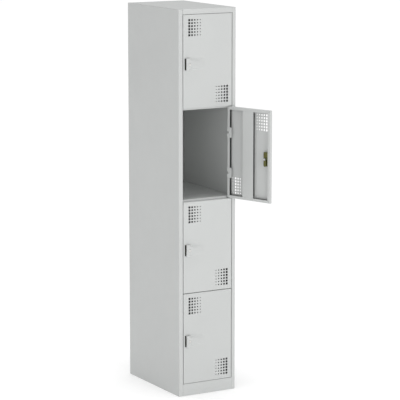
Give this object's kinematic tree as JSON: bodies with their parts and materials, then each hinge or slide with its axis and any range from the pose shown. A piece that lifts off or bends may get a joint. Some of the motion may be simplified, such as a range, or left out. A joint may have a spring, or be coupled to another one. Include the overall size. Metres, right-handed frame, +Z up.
{
  "type": "locker cabinet",
  "caption": "Tall narrow steel locker with stacked square-vented doors on pin hinges, bent pulls, cam latches and open compartments behind.",
  "frame": {"origin": "on the floor, in the middle of the foot flange under the front plinth, 12 mm behind the front face", "axes": "+Z up, +X to the right of someone facing the doors, +Y from the doors to the back"},
  "size_m": [0.3665, 0.723, 1.8],
  "materials": {
    "powder_coat": "light grey satin powder coat with a fine texture",
    "yellow_zinc": "yellow-green passivated zinc plating",
    "bright_zinc": "bright zinc plating",
    "nickel": "satin nickel plating"
  },
  "bodies": {
    "cabinet": {"left_side_panel": "powder_coat", "right_side_panel": "powder_coat", "back_panel": "powder_coat", "top_panel": "powder_coat", "base_tray": "powder_coat", "shelf_1": "powder_coat", "shelf_2": "powder_coat", "shelf_3": "powder_coat", "door_1_upper_bracket": "powder_coat", "door_1_lower_bracket": "powder_coat", "door_2_upper_bracket": "powder_coat", "door_2_lower_bracket": "powder_coat", "door_3_upper_bracket": "powder_coat", "door_3_lower_bracket": "powder_coat", "door_4_upper_bracket": "powder_coat", "door_4_lower_bracket": "powder_coat"},
    "door_1": {"door_1_panel": "powder_coat", "door_1_stiffener": "powder_coat", "door_1_pull": "powder_coat", "door_1_lock_body": "yellow_zinc", "door_1_upper_leaf": "powder_coat", "door_1_upper_pin": "bright_zinc", "door_1_lower_leaf": "powder_coat", "door_1_lower_pin": "bright_zinc"},
    "latch_1": {"latch_1_cam": "yellow_zinc", "latch_1_lock_plug": "nickel", "latch_1_cam_nut": "bright_zinc"},
    "door_2": {"door_2_panel": "powder_coat", "door_2_stiffener": "powder_coat", "door_2_pull": "powder_coat", "door_2_lock_body": "yellow_zinc", "door_2_upper_leaf": "powder_coat", "door_2_upper_pin": "bright_zinc", "door_2_lower_leaf": "powder_coat", "door_2_lower_pin": "bright_zinc"},
    "latch_2": {"latch_2_cam": "yellow_zinc", "latch_2_lock_plug": "nickel", "latch_2_cam_nut": "bright_zinc"},
    "door_3": {"door_3_panel": "powder_coat", "door_3_stiffener": "powder_coat", "door_3_pull": "powder_coat", "door_3_lock_body": "yellow_zinc", "door_3_upper_leaf": "powder_coat", "door_3_upper_pin": "bright_zinc", "door_3_lower_leaf": "powder_coat", "door_3_lower_pin": "bright_zinc"},
    "latch_3": {"latch_3_cam": "yellow_zinc", "latch_3_lock_plug": "nickel", "latch_3_cam_nut": "bright_zinc"},
    "door_4": {"door_4_panel": "powder_coat", "door_4_stiffener": "powder_coat", "door_4_pull": "powder_coat", "door_4_lock_body": "yellow_zinc", "door_4_upper_leaf": "powder_coat", "door_4_upper_pin": "bright_zinc", "door_4_lower_leaf": "powder_coat", "door_4_lower_pin": "bright_zinc"},
    "latch_4": {"latch_4_cam": "yellow_zinc", "latch_4_lock_plug": "nickel", "latch_4_cam_nut": "bright_zinc"}
  },
  "joints": [
    {"name": "door_1_hinge", "type": "hinge", "parent": "cabinet", "child": "door_1", "pos_m": [0.123, -0.006, 1.56115], "axis": [0, 0, 1], "range_deg": [0, 110]},
    {"name": "door_2_hinge", "type": "hinge", "parent": "cabinet", "child": "door_2", "pos_m": [0.123, -0.006, 1.13145], "axis": [0, 0, 1], "range_deg": [-108.5, 1.5]},
    {"name": "door_3_hinge", "type": "hinge", "parent": "cabinet", "child": "door_3", "pos_m": [0.123, -0.006, 0.70175], "axis": [0, 0, 1], "range_deg": [0, 110]},
    {"name": "door_4_hinge", "type": "hinge", "parent": "cabinet", "child": "door_4", "pos_m": [0.123, -0.006, 0.27205], "axis": [0, 0, 1], "range_deg": [0, 110]},
    {"name": "latch_1_turn", "type": "hinge", "parent": "door_1", "child": "latch_1", "pos_m": [-0.0986, -0.006, 1.54965], "axis": [0, 1, 0], "range_deg": [0, 90]},
    {"name": "latch_2_turn", "type": "hinge", "parent": "door_2", "child": "latch_2", "pos_m": [0.19331, -0.21615, 1.11995], "axis": [-0.9483, -0.3173, 0], "range_deg": [0, 90]},
    {"name": "latch_3_turn", "type": "hinge", "parent": "door_3", "child": "latch_3", "pos_m": [-0.0986, -0.006, 0.69025], "axis": [0, 1, 0], "range_deg": [0, 90]},
    {"name": "latch_4_turn", "type": "hinge", "parent": "door_4", "child": "latch_4", "pos_m": [-0.0986, -0.006, 0.26055], "axis": [0, 1, 0], "range_deg": [0, 90]}
  ]
}
